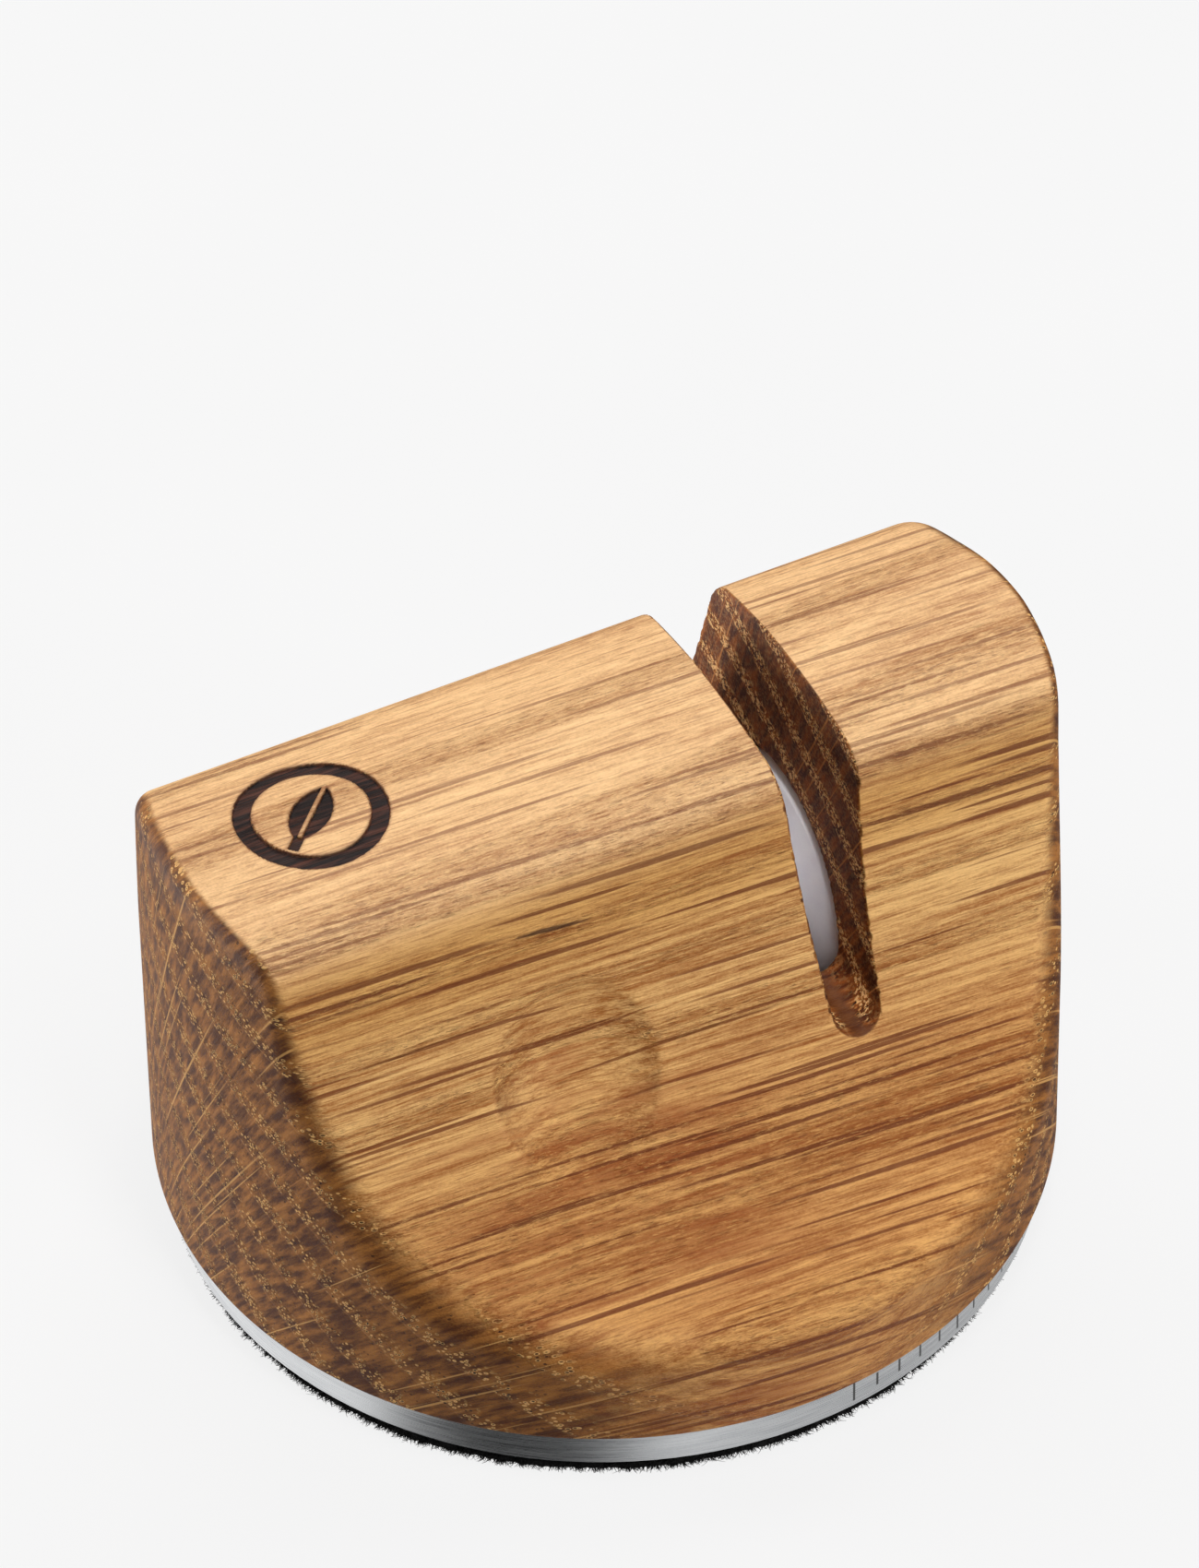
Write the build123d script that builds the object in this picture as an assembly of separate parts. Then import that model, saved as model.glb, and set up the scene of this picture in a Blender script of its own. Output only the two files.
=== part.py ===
from build123d import *
import math
import os

# Countertop rolling knife sharpener: an oak body on a steel foot, with a grooved ceramic
# wheel that turns below a knife slot.
# Z is up, with Z = 0 on the underside of the grip pad and the body's axis on X = Y = 0.
# X runs along the wood grain towards the slot. -Y is the front, where the thumb rests.
# All lengths are in millimetres and all angles in degrees.

# Overall stack: pad, steel plate, oak body
body_diameter = 80.0
pad_thickness = 0.9
plate_thickness = 4.2
wood_height = 47.0

# Section of the oak body across the grain, from the cambered top down to the rim
crown_width = 20.0
camber_radius = 70.0
shoulder_radius = 4.5
flank_top_lean = 9.0
flank_radius = 65.0
flank_turn = 19.4
cove_radius = 21.5
rim_edge_radius = 2.5
wood_foot_chamfer = 0.4

# Knife slot, cut straight through from front to back
slot_x = 14.4
slot_top_width = 7.3
slot_depth = 25.9
slot_draft = 3.5

# Finger recess scooped out of each flank
recess_x = -11.8
recess_height = 26.0
recess_depth = 1.45
recess_ball_radius = 22.0

# Ceramic wheel, made of two halves that form a V groove
axle_height = 21.4
wheel_radius = 11.4
groove_root_radius = 3.8
groove_half_angle = 20.0
wheel_half_width = 4.1
wheel_edge_round = 0.4

# Hub, washers and axle
axle_radius = 1.5
hub_running_clearance = 0.05
hub_radius = 2.6
hub_flange_radius = 5.0
hub_flange_thickness = 0.8
washer_radius = 3.4
washer_thickness = 0.4
washer_gap = 0.15

# Wheel cradle and the pocket that takes it
cheek_thickness = 1.6
cheek_head_radius = 4.6
cheek_foot_width = 17.0
cradle_length = 28.0
cradle_width = 24.8
cradle_corner_radius = 4.0
cradle_floor = 2.5
pocket_radius = 12.6
pocket_side_gap = 0.05

# Steel plate, pad and screws
plate_radius = 38.9
plate_chamfer = 0.35
pad_radius = 38.4
plate_screw_circle = 56.0
plate_screw_count = 4
plate_screw_radius = 2.0
plate_screw_length = 15.0
plate_screw_head_radius = 3.8
plate_hole_radius = 2.2
cradle_screw_spacing = 21.0
cradle_screw_radius = 1.5
cradle_screw_length = 10.0
cradle_screw_head_radius = 2.8
thread_pitch = 1.1
thread_depth = 0.3

# Worked out from the values above
body_radius = body_diameter / 2
seam_z = pad_thickness + plate_thickness
top_z = seam_z + wood_height
axle_z = seam_z + axle_height
cheek_inner = wheel_half_width + washer_gap + washer_thickness
cheek_outer = cheek_inner + cheek_thickness
pocket_half_width = cheek_outer + pocket_side_gap


def section_curves():
    """Camber, shoulder, flank and cove on one side: local x is across the grain, local y is up."""
    camber_turn = math.degrees(math.asin(crown_width / 2 / camber_radius))
    shoulder_turn = 90 - flank_top_lean - camber_turn
    cove_turn = 90 - flank_top_lean - flank_turn
    camber = JernArc((0, top_z), (1, 0), camber_radius, -camber_turn)
    shoulder = JernArc(camber @ 1, camber % 1, shoulder_radius, -shoulder_turn)
    flank = JernArc(shoulder @ 1, shoulder % 1, flank_radius, flank_turn)
    cove = JernArc(flank @ 1, flank % 1, cove_radius, cove_turn)
    return [camber, shoulder, flank, cove]


def half_section():
    """One side of the body's section, from the middle of the top to the middle of the foot."""
    curves = section_curves()
    cove_end = curves[-1] @ 1
    rim_y = body_radius + 2
    rim_line = Polyline((cove_end.X, cove_end.Y), (rim_y, cove_end.Y), (rim_y, seam_z), (0, seam_z))
    return Curve() + [*curves, rim_line]


def flank_surface(height):
    """Distance of the flank from the middle plane, and its lean, at a height over the seam."""
    centre = section_curves()[2].arc_center
    lean = math.asin((centre.Y - seam_z - height) / flank_radius)
    return centre.X - flank_radius * math.cos(lean), lean


def body_blank():
    """Round body cut to the saddle section, with its end edges rounded."""
    half = half_section()
    section = make_face(half + mirror(half, about=Plane.YZ))
    prism = extrude(Plane.YZ * section, amount=body_radius + 2, both=True)
    centre = Pos(0, 0, seam_z + wood_height / 2)
    blank = centre * Cylinder(body_radius, wood_height) & prism
    rim_edges = [edge for edge in blank.edges() if on_rim(edge)]
    blank = fillet(rim_edges, rim_edge_radius)
    foot_edge = blank.edges().filter_by(GeomType.CIRCLE).group_by(Axis.Z)[0]
    return chamfer(foot_edge, wood_foot_chamfer)


def on_rim(edge):
    """True for the sharp edges between the round side and the saddle section."""
    middle = edge @ 0.5
    at_radius = abs(math.hypot(middle.X, middle.Y) - body_radius) < 0.01
    return at_radius and edge.geom_type != GeomType.LINE and middle.Z > seam_z + 1


def knife_slot():
    """Tapered slot with a round floor, running right through from front to back."""
    lean = math.radians(slot_draft)
    reach = 2.0
    floor_radius = slot_top_width / 2 - slot_depth * math.tan(lean)
    floor_radius /= 1 / math.cos(lean) - math.tan(lean)
    floor_z = top_z - slot_depth
    tangent_x = floor_radius * math.cos(lean)
    tangent_z = floor_z + floor_radius * (1 - math.sin(lean))
    mouth_x = slot_top_width / 2 + reach * math.tan(lean)
    mouth_z = top_z + reach
    outline = [
        ThreePointArc((-tangent_x, tangent_z), (0, floor_z), (tangent_x, tangent_z)),
        Line((tangent_x, tangent_z), (mouth_x, mouth_z)),
        Line((mouth_x, mouth_z), (-mouth_x, mouth_z)),
        Line((-mouth_x, mouth_z), (-tangent_x, tangent_z)),
    ]
    section = make_face(Curve() + outline)
    return Pos(slot_x, 0, 0) * extrude(Plane.XZ * section, amount=body_radius, both=True)


def finger_recess(side):
    """Ball that scoops the recess out of one flank; side is -1 for the front, 1 for the back."""
    offset, lean = flank_surface(recess_height)
    stand_off = recess_ball_radius - recess_depth
    centre_y = side * (offset + stand_off * math.cos(lean))
    centre_z = seam_z + recess_height + stand_off * math.sin(lean)
    return Pos(recess_x, centre_y, centre_z) * Sphere(recess_ball_radius)


def wheel_pocket():
    """Domed pocket for the wheel, open below, and the shallow recess for the cradle's floor."""
    width = 2 * pocket_half_width
    dome = Pos(slot_x, 0, axle_z) * Rot(0, 90, 0) * Cylinder(pocket_radius, width)
    shaft_height = axle_z - seam_z
    shaft = Pos(slot_x, 0, seam_z + shaft_height / 2) * Box(width, 2 * pocket_radius, shaft_height)
    return dome + shaft + cradle_floor_plate()


def cradle_floor_plate():
    """Round-cornered plate that fills the recess in the underside of the oak."""
    outline = RectangleRounded(cradle_length, cradle_width, cradle_corner_radius)
    return Pos(slot_x, 0, seam_z) * extrude(outline, amount=cradle_floor)


def plate_screw_places():
    """Places of the plate screws at the bottom of the steel plate."""
    first_angle = 180 / plate_screw_count
    circle = PolarLocations(plate_screw_circle / 2, plate_screw_count, first_angle, rotate=False)
    return [Pos(0, 0, pad_thickness) * place for place in circle.locations]


def cradle_screw_places():
    """Places of the cradle screws at the bottom of the cradle's floor."""
    half = cradle_screw_spacing / 2
    return [Pos(slot_x + side * half, 0, seam_z) for side in (-1, 1)]


def countersunk_screw(radius, length, head_radius):
    """Countersunk wood screw with a cross recess, pointing up from its flat head at Z = 0."""
    head_height = head_radius - radius
    root = radius - thread_depth
    tip_height = 1.5 * radius
    turns = int((length - head_height - tip_height) / thread_pitch)
    outline = [(0, 0), (head_radius, 0), (radius, head_height)]
    for turn in range(turns):
        ridge_z = head_height + turn * thread_pitch
        outline.append((root, ridge_z + 0.35 * thread_pitch))
        outline.append((root, ridge_z + 0.65 * thread_pitch))
        outline.append((radius, ridge_z + thread_pitch))
    outline.append((root, outline[-1][1] + thread_depth))
    outline.append((0, length))
    solid = revolve(Plane.XZ * make_face(Polyline(*outline, close=True)), Axis.Z)
    bit_depth = 0.7 * head_height
    bit_width = 0.3 * radius
    bit_span = 1.1 * head_radius
    centre = Pos(0, 0, bit_depth / 2)
    cross = centre * Box(bit_span, bit_width, bit_depth)
    cross += centre * Box(bit_width, bit_span, bit_depth)
    return solid - cross


def countersunk_hole(radius, head_radius, screw_radius, depth):
    """Clearance hole with a countersink, opening downwards at Z = 0."""
    head_height = head_radius - screw_radius
    cone = Pos(0, 0, head_height / 2) * Cone(head_radius, screw_radius, head_height)
    return cone + Pos(0, 0, depth / 2) * Cylinder(radius, depth)


def pilot_hole(radius, length):
    """Straight hole in the oak that a screw's thread crests bear on."""
    return Pos(0, 0, length / 2) * Cylinder(radius, length)


def wood_body():
    """Oak body: saddle-shaped block with the slot, recesses, wheel pocket and pilot holes."""
    solid = body_blank() - knife_slot() - wheel_pocket()
    for side in (-1, 1):
        solid -= finger_recess(side)
    for place in plate_screw_places():
        solid -= place * pilot_hole(plate_screw_radius, plate_screw_length)
    for place in cradle_screw_places():
        solid -= place * pilot_hole(cradle_screw_radius, cradle_screw_length)
    return solid


def base_plate():
    """Steel disc with countersunk holes, opening downwards."""
    middle_z = pad_thickness + plate_thickness / 2
    solid = Pos(0, 0, middle_z) * Cylinder(plate_radius, plate_thickness)
    solid = chamfer(solid.edges().filter_by(GeomType.CIRCLE), plate_chamfer)
    hole = countersunk_hole(
        plate_hole_radius, plate_screw_head_radius, plate_screw_radius, plate_thickness
    )
    for place in plate_screw_places():
        solid -= place * hole
    return solid


def grip_pad():
    """Round non-slip pad that the sharpener rests on."""
    return Pos(0, 0, pad_thickness / 2) * Cylinder(pad_radius, pad_thickness)


def wheel_cradle():
    """Plastic cradle: a floor plate with two cheeks that carry the axle."""
    floor_top = seam_z + cradle_floor
    half_foot = cheek_foot_width / 2
    head_z = axle_z + cheek_head_radius
    outline = Polyline(
        (-half_foot, floor_top),
        (half_foot, floor_top),
        (cheek_head_radius, axle_z),
        (cheek_head_radius, head_z),
        (-cheek_head_radius, head_z),
        (-cheek_head_radius, axle_z),
        close=True,
    )
    face = make_face(outline)
    top_corners = face.vertices().group_by(Axis.Y)[-1]
    cheek = extrude(Plane.YZ * fillet(top_corners, cheek_head_radius * 0.98), amount=cheek_thickness)
    solid = cradle_floor_plate()
    solid += Pos(slot_x + cheek_inner, 0, 0) * cheek
    solid += Pos(slot_x - cheek_outer, 0, 0) * cheek
    solid -= Pos(slot_x, 0, axle_z) * Rot(0, 90, 0) * Cylinder(axle_radius, 2 * cheek_outer)
    hole = countersunk_hole(
        cradle_screw_radius, cradle_screw_head_radius, cradle_screw_radius, cradle_floor
    )
    for place in cradle_screw_places():
        solid -= place * hole
    return solid


def on_axle(outline):
    """Turns a closed outline of (distance along the axle, radius) points about the axle."""
    return Pos(slot_x, 0, axle_z) * revolve(make_face(Polyline(*outline, close=True)), Axis.X)


def grinding_wheel(side):
    """One ceramic half; side is -1 for the left half and 1 for the right half."""
    groove_x = (wheel_radius - groove_root_radius) * math.tan(math.radians(groove_half_angle))
    seat_x = wheel_half_width - hub_flange_thickness
    outline = [
        (0, hub_radius),
        (0, groove_root_radius),
        (side * groove_x, wheel_radius),
        (side * wheel_half_width, wheel_radius),
        (side * wheel_half_width, hub_flange_radius),
        (side * seat_x, hub_flange_radius),
        (side * seat_x, hub_radius),
    ]
    solid = on_axle(outline)
    circles = solid.edges().filter_by(GeomType.CIRCLE)
    rim_edges = [edge for edge in circles if abs(edge.radius - wheel_radius) < 0.01]
    return fillet(rim_edges, wheel_edge_round)


def wheel_hub():
    """Plastic sleeve that joins the wheel's halves and runs on the axle, flanged on the left."""
    bore = axle_radius + hub_running_clearance
    seat_x = hub_flange_thickness - wheel_half_width
    outline = [
        (-wheel_half_width, bore),
        (wheel_half_width, bore),
        (wheel_half_width, hub_radius),
        (seat_x, hub_radius),
        (seat_x, hub_flange_radius),
        (-wheel_half_width, hub_flange_radius),
    ]
    return on_axle(outline)


def hub_cap():
    """Ring pressed on the sleeve's right-hand end."""
    seat_x = wheel_half_width - hub_flange_thickness
    outline = [
        (seat_x, hub_radius),
        (seat_x, hub_flange_radius),
        (wheel_half_width, hub_flange_radius),
        (wheel_half_width, hub_radius),
    ]
    return on_axle(outline)


def axle_pin():
    """Plain steel pin across the cradle's cheeks, with broken end edges."""
    end_break = 0.2
    outline = [
        (-cheek_outer, 0),
        (-cheek_outer, axle_radius - end_break),
        (-cheek_outer + end_break, axle_radius),
        (cheek_outer - end_break, axle_radius),
        (cheek_outer, axle_radius - end_break),
        (cheek_outer, 0),
    ]
    return on_axle(outline)


def washer(side):
    """Thin thrust washer between the hub and one cheek."""
    near = side * (wheel_half_width + washer_gap)
    far = side * cheek_inner
    outline = [(near, axle_radius), (near, washer_radius), (far, washer_radius), (far, axle_radius)]
    return on_axle(outline)


def sharpener():
    """All the separate pieces by name."""
    plate_screw = countersunk_screw(plate_screw_radius, plate_screw_length, plate_screw_head_radius)
    cradle_screw = countersunk_screw(
        cradle_screw_radius, cradle_screw_length, cradle_screw_head_radius
    )
    pieces = {
        "wood_body": wood_body(),
        "base_plate": base_plate(),
        "grip_pad": grip_pad(),
        "wheel_cradle": wheel_cradle(),
        "grinding_wheel_left": grinding_wheel(-1),
        "grinding_wheel_right": grinding_wheel(1),
        "wheel_hub": wheel_hub(),
        "hub_cap": hub_cap(),
        "axle_pin": axle_pin(),
        "washer_left": washer(-1),
        "washer_right": washer(1),
    }
    for number, place in enumerate(plate_screw_places(), 1):
        pieces[f"plate_screw_{number}"] = place * plate_screw
    for number, place in enumerate(cradle_screw_places(), 1):
        pieces[f"cradle_screw_{number}"] = place * cradle_screw
    return pieces


os.makedirs("parts", exist_ok=True)
for name, piece in sharpener().items():
    export_step(piece, f"parts/{name}.step")
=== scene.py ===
import math
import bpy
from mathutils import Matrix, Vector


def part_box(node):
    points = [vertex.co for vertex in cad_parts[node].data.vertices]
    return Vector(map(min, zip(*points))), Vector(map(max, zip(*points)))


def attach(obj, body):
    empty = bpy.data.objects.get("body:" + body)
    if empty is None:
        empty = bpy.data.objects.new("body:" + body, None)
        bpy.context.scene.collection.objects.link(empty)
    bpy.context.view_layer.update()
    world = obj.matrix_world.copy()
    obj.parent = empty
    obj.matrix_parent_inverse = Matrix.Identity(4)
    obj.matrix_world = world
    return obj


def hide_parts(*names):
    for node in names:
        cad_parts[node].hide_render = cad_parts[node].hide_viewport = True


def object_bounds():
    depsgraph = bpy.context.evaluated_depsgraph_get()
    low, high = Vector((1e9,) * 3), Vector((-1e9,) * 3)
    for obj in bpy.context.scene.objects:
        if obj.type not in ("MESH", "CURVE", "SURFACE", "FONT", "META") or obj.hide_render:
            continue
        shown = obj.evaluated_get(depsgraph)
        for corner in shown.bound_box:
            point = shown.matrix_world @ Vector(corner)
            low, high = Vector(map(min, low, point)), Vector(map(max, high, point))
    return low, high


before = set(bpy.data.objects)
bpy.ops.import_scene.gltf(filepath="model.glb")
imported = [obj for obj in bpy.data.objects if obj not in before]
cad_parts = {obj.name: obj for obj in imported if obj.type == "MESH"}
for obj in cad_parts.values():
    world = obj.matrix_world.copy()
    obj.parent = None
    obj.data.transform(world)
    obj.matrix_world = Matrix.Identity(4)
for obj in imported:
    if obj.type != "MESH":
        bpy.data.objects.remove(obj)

from types import SimpleNamespace

import bpy
import numpy as np
from mathutils import Quaternion, Vector

# Looks of the rolling knife sharpener: an oak body on a satin steel foot, a black fibre pad,
# and a white ceramic wheel in the knife slot. Lengths in the functions below are millimetres
# until a mesh or a light is made, and Blender's are metres.
MM = 0.001
cad_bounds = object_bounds()

# ---------------------------------------------------------------- places from the frame


def node_box(name):
    """Lowest and highest corner of a CAD node, in millimetres."""
    low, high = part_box(name)
    return np.array(low) / MM, np.array(high) / MM


wood_low, wood_high = node_box("wood_body")
pad_low, pad_high = node_box("grip_pad")
plate_low, plate_high = node_box("base_plate")
wheel_low, wheel_high = node_box("grinding_wheel_left")
cradle_low, cradle_high = node_box("wheel_cradle")
pin_low, pin_high = node_box("axle_pin")

BODY_RADIUS = (wood_high[0] - wood_low[0]) / 2
SEAM_Z = wood_low[2]
TOP_Z = wood_high[2]
AXLE_Z = (wheel_low[2] + wheel_high[2]) / 2
SLOT_X = (pin_low[0] + pin_high[0]) / 2

# Section of the body across the grain: camber, shoulder, flank and cove, as in the CAD model
CROWN_WIDTH = 20.0
CAMBER_RADIUS = 70.0
SHOULDER_RADIUS = 4.5
FLANK_TOP_LEAN = math.radians(9.0)
FLANK_RADIUS = 65.0
FLANK_TURN = math.radians(19.4)
COVE_RADIUS = 21.5

# Knife slot, finger recesses and the hollow for the wheel
SLOT_TOP_WIDTH = 7.3
SLOT_DEPTH = 25.9
SLOT_DRAFT = math.radians(3.5)
RECESS_X = -11.8
RECESS_Z = SEAM_Z + 26.0
RECESS_DEPTH = 1.45
RECESS_BALL_RADIUS = 22.0
POCKET_RADIUS = 12.6
POCKET_HALF_WIDTH = 6.3
CRADLE_CORNER_RADIUS = 4.0
CRADLE_FLOOR = 2.5

# Holes for the screws, up from the seam: (x, y, radius, depth)
PLATE_SCREW_CIRCLE = 28.0
PLATE_SCREW_HOLE = (2.0, 15.0)
CRADLE_SCREW_OFFSET = 10.5
CRADLE_SCREW_HOLE = (1.5, 10.0)
PILOT_HOLES = [(PLATE_SCREW_CIRCLE * math.cos(a), PLATE_SCREW_CIRCLE * math.sin(a),
                *PLATE_SCREW_HOLE) for a in np.radians((45, 135, 225, 315))]
PILOT_HOLES += [(SLOT_X + side * CRADLE_SCREW_OFFSET, 0.0, *CRADLE_SCREW_HOLE)
                for side in (-1, 1)]

# Edge roundings, how much sanding takes off the crown's back shoulder, and how far down it goes
TOP_EDGE_ROUND = 1.1
BACK_EDGE_ROUND = 2.4
COVE_EDGE_ROUND = 3.0
FOOT_EDGE_ROUND = 0.4
SLOT_EDGE_ROUND = 0.2
RECESS_EDGE_ROUND = 0.12
POCKET_EDGE_ROUND = 0.2
MARK_EDGE_ROUND = 0.08
BACK_SHAVE = 0.4
CROWN_DEPTH = 3.0

# Etched ticks on the steel rim, along the arc from +X in millimetres
TICK_START = -58.0
TICK_PITCH = 2.5
TICK_COUNT = 15
TICK_HALF_HEIGHT = 0.75
TICK_EXTRA_HEIGHT = 0.45
TICKS_PER_LONG_ONE = 5.0

# Burned mark: a plain ring round a leaf
MARK_X = -26.6
MARK_Y = 1.2
MARK_RING_RADIUS = 5.9
MARK_RING_WIDTH = 1.5
MARK_LEAF_RADIUS = 4.6
MARK_LEAF_OFFSET = 2.9
MARK_VEIN_WIDTH = 0.45
MARK_STEM_PLACE = 3.9
MARK_STEM_HALF = 0.8
MARK_DEPTH = 0.3

# ---------------------------------------------------------------- shape of the oak body


def profile_arcs():
    """Centre, radius, first angle, turn and side of each arc of the section, top to rim.

    side is 1 where the wood bulges and -1 where it is hollow. Angles run clockwise.
    """
    camber_turn = math.asin(CROWN_WIDTH / 2 / CAMBER_RADIUS)
    shoulder_turn = math.pi / 2 - FLANK_TOP_LEAN - camber_turn
    cove_turn = math.pi / 2 - FLANK_TOP_LEAN - FLANK_TURN
    point = np.array([0.0, TOP_Z])
    heading = 0.0
    arcs = []
    for radius, turn, side in (
        (CAMBER_RADIUS, camber_turn, 1),
        (SHOULDER_RADIUS, shoulder_turn, 1),
        (FLANK_RADIUS, FLANK_TURN, -1),
        (COVE_RADIUS, cove_turn, -1),
    ):
        outward = np.array([-math.sin(heading), math.cos(heading)])
        centre = point - side * radius * outward
        arcs.append((centre, radius, heading, turn, side))
        heading -= side * turn
        outward = np.array([-math.sin(heading), math.cos(heading)])
        point = centre + side * radius * outward
    return arcs


ARCS = profile_arcs()
RIM_Z = ARCS[-1][0][1] - COVE_RADIUS
DEEP_INSIDE = -12.0
TURN_SLACK = 1e-6


def profile_distance(y, z):
    """Signed distance to the saddle section, less than zero in the wood."""
    across = np.abs(y)
    best = np.full(across.shape, DEEP_INSIDE)
    found = np.zeros(across.shape, bool)
    for centre, radius, heading, turn, side in ARCS:
        dy = across - centre[0]
        dz = z - centre[1]
        away = np.hypot(dy, dz)
        # the arc's own outward direction, so that one test serves bulge and hollow
        angle = np.arctan2(-side * dy, side * dz)
        swept = side * (heading - angle)
        here = (swept > -TURN_SLACK) & (swept < turn + TURN_SLACK)
        distance = side * (away - radius)
        nearer = here & (~found | (np.abs(distance) < np.abs(best)))
        best = np.where(nearer, distance, best)
        found |= here
    past_cove = ~found & (across > BODY_RADIUS * 0.8)
    return np.where(past_cove, z - RIM_Z, best)


def flank_point(z):
    """Distance of the flank from the middle plane and its lean at a height."""
    centre, radius = ARCS[2][0], ARCS[2][1]
    lean = math.asin((centre[1] - z) / radius)
    return centre[0] - radius * math.cos(lean), lean


def rise(value, start, end):
    """Straight ramp from 0 to 1 as value goes from start to end."""
    return np.clip((value - start) / (end - start), 0, 1)


def round_max(a, b, radius):
    """Intersection of two solids with their common edge rounded."""
    corner = np.hypot(np.maximum(a + radius, 0), np.maximum(b + radius, 0))
    return np.minimum(np.maximum(a, b), -radius) + corner


SLOT_FLOOR_RADIUS = (SLOT_TOP_WIDTH / 2 - SLOT_DEPTH * math.tan(SLOT_DRAFT)) / (
    1 / math.cos(SLOT_DRAFT) - math.tan(SLOT_DRAFT))
SLOT_FLOOR_CENTRE = TOP_Z - SLOT_DEPTH + SLOT_FLOOR_RADIUS


def slot_distance(x, z):
    """Signed distance to the tapered slot with its round floor."""
    side = np.abs(x - SLOT_X)
    up = z - SLOT_FLOOR_CENTRE
    along = side * math.sin(SLOT_DRAFT) + up * math.cos(SLOT_DRAFT)
    wall = side * math.cos(SLOT_DRAFT) - up * math.sin(SLOT_DRAFT) - SLOT_FLOOR_RADIUS
    return np.where(along > 0, wall, np.hypot(side, up) - SLOT_FLOOR_RADIUS)


def recess_distance(x, y, z):
    """Signed distance to the nearer of the two balls that scoop the finger recesses."""
    offset, lean = flank_point(RECESS_Z)
    stand_off = RECESS_BALL_RADIUS - RECESS_DEPTH
    centre_y = offset + stand_off * math.cos(lean)
    centre_z = RECESS_Z + stand_off * math.sin(lean)
    away = np.sqrt((x - RECESS_X) ** 2 + (np.abs(y) - centre_y) ** 2 + (z - centre_z) ** 2)
    return away - RECESS_BALL_RADIUS


def pocket_distance(x, y, z):
    """Signed distance to the domed wheel pocket joined to the recess for the cradle's floor."""
    side = np.abs(x - SLOT_X)
    up = np.maximum(z - AXLE_Z, 0)
    dome = np.maximum(side - POCKET_HALF_WIDTH, np.hypot(y, up) - POCKET_RADIUS)
    half = (cradle_high - cradle_low) / 2 - CRADLE_CORNER_RADIUS
    over_x = side - half[0]
    over_y = np.abs(y) - half[1]
    corner = np.hypot(np.maximum(over_x, 0), np.maximum(over_y, 0))
    plate = corner + np.minimum(np.maximum(over_x, over_y), 0) - CRADLE_CORNER_RADIUS
    return np.minimum(dome, np.maximum(plate, z - SEAM_Z - CRADLE_FLOOR))


def mark_distance(x, y):
    """Signed distance in plan to the burned mark: a ring, and a leaf split by its vein."""
    dx = x - MARK_X
    dy = y - MARK_Y
    ring = np.abs(np.hypot(dx, dy) - MARK_RING_RADIUS) - MARK_RING_WIDTH / 2
    along = (dx + dy) / math.sqrt(2)
    across = np.abs(dy - dx) / math.sqrt(2)
    leaf = np.hypot(along, across + MARK_LEAF_OFFSET) - MARK_LEAF_RADIUS
    leaf = np.maximum(leaf, MARK_VEIN_WIDTH / 2 - across)
    stem = np.maximum(across - MARK_VEIN_WIDTH, np.abs(along + MARK_STEM_PLACE) - MARK_STEM_HALF)
    return np.minimum(ring, np.minimum(leaf, stem))


def wood_distance(x, y, z):
    """Signed distance to the finished oak body."""
    # the crown's back shoulder is sanded a little lower, and its edge rounder towards the right
    high = rise(z, TOP_Z - 3 * CROWN_DEPTH, TOP_Z - CROWN_DEPTH)
    section = profile_distance(y, z) + BACK_SHAVE * high * rise(y, 3, 10)
    back = rise(y, -3, 7) * np.clip(0.65 + x / 60, 0.3, 1)
    top_round = TOP_EDGE_ROUND + (BACK_EDGE_ROUND - TOP_EDGE_ROUND) * back
    # the edge's rounding grows from the crown down to the cove
    share = rise(z, TOP_Z - CROWN_DEPTH, TOP_Z - CROWN_DEPTH - 26)
    rounding = top_round + (COVE_EDGE_ROUND - top_round) * share
    solid = round_max(np.hypot(x, y) - BODY_RADIUS, section, rounding)
    solid = round_max(solid, SEAM_Z - z, FOOT_EDGE_ROUND)
    solid = round_max(solid, -recess_distance(x, y, z), RECESS_EDGE_ROUND)
    solid = round_max(solid, -slot_distance(x, z), SLOT_EDGE_ROUND)
    solid = round_max(solid, -pocket_distance(x, y, z), POCKET_EDGE_ROUND)
    for hole_x, hole_y, radius, depth in PILOT_HOLES:
        hole = np.maximum(np.hypot(x - hole_x, y - hole_y) - radius, z - SEAM_Z - depth)
        solid = np.maximum(solid, -hole)
    groove = np.maximum(mark_distance(x, y), -(section + MARK_DEPTH))
    groove = np.maximum(groove, TOP_Z - CROWN_DEPTH - z)
    return round_max(solid, -groove, MARK_EDGE_ROUND)


def spaced(low, high, coarse, fine_spans):
    """Grid lines from low to high at the coarse step, and closer inside the fine spans."""
    stops = [low, *sorted(edge for span in fine_spans for edge in span[:2]), high]
    lines = [low]
    for start, end in zip(stops, stops[1:]):
        middle = (start + end) / 2
        steps = [span[2] for span in fine_spans if span[0] < middle < span[1]]
        count = max(1, round((end - start) / (steps[0] if steps else coarse)))
        lines.extend(np.linspace(start, end, count + 1)[1:])
    return np.array(lines)


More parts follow.
